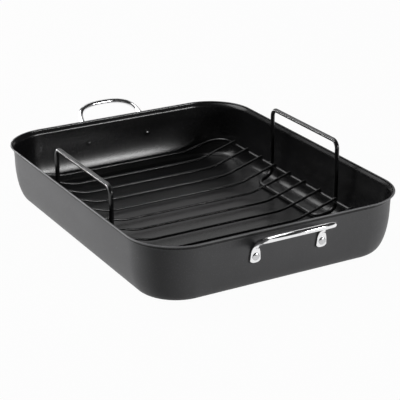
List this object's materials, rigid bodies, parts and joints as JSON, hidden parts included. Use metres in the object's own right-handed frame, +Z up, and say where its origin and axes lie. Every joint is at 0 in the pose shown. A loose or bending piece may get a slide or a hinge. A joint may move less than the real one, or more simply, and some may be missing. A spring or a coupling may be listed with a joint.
{
  "type": "roasting pan with rack",
  "caption": "Oblong coated sheet-metal roasting pan with riveted rod end handles and a loose wire rack with upright lift handles that holds a roast off the floor.",
  "frame": {"origin": "middle of the pan's footprint, on the underside of its floor", "axes": "+X along the pan's length towards the front end handle, +Y across the pan along the rack's cross wires, +Z up"},
  "size_m": [0.493, 0.329, 0.098],
  "materials": {
    "coated_sheet": "satin charcoal non-stick coating on steel sheet",
    "coated_wire": "semi-gloss black non-stick coating on steel wire",
    "polished_steel": "polished stainless steel"
  },
  "bodies": {
    "pan": {"pan_body": "coated_sheet", "pan_handle_front": "polished_steel", "pan_handle_rear": "polished_steel", "pan_rivet_front_left": "polished_steel", "pan_rivet_front_right": "polished_steel", "pan_rivet_rear_left": "polished_steel", "pan_rivet_rear_right": "polished_steel"},
    "rack": {"rack_frame": "coated_wire", "rack_wire_1": "coated_wire", "rack_wire_2": "coated_wire", "rack_wire_3": "coated_wire", "rack_wire_4": "coated_wire", "rack_wire_5": "coated_wire", "rack_wire_6": "coated_wire", "rack_wire_7": "coated_wire", "rack_wire_8": "coated_wire", "rack_wire_9": "coated_wire", "rack_wire_10": "coated_wire", "rack_handle_left": "coated_wire", "rack_handle_right": "coated_wire"}
  },
  "joints": [
    {"name": "rack_lift", "type": "slide", "parent": "pan", "child": "rack", "axis": [0, 0, 1], "range_m": [0, 0.1]}
  ]
}
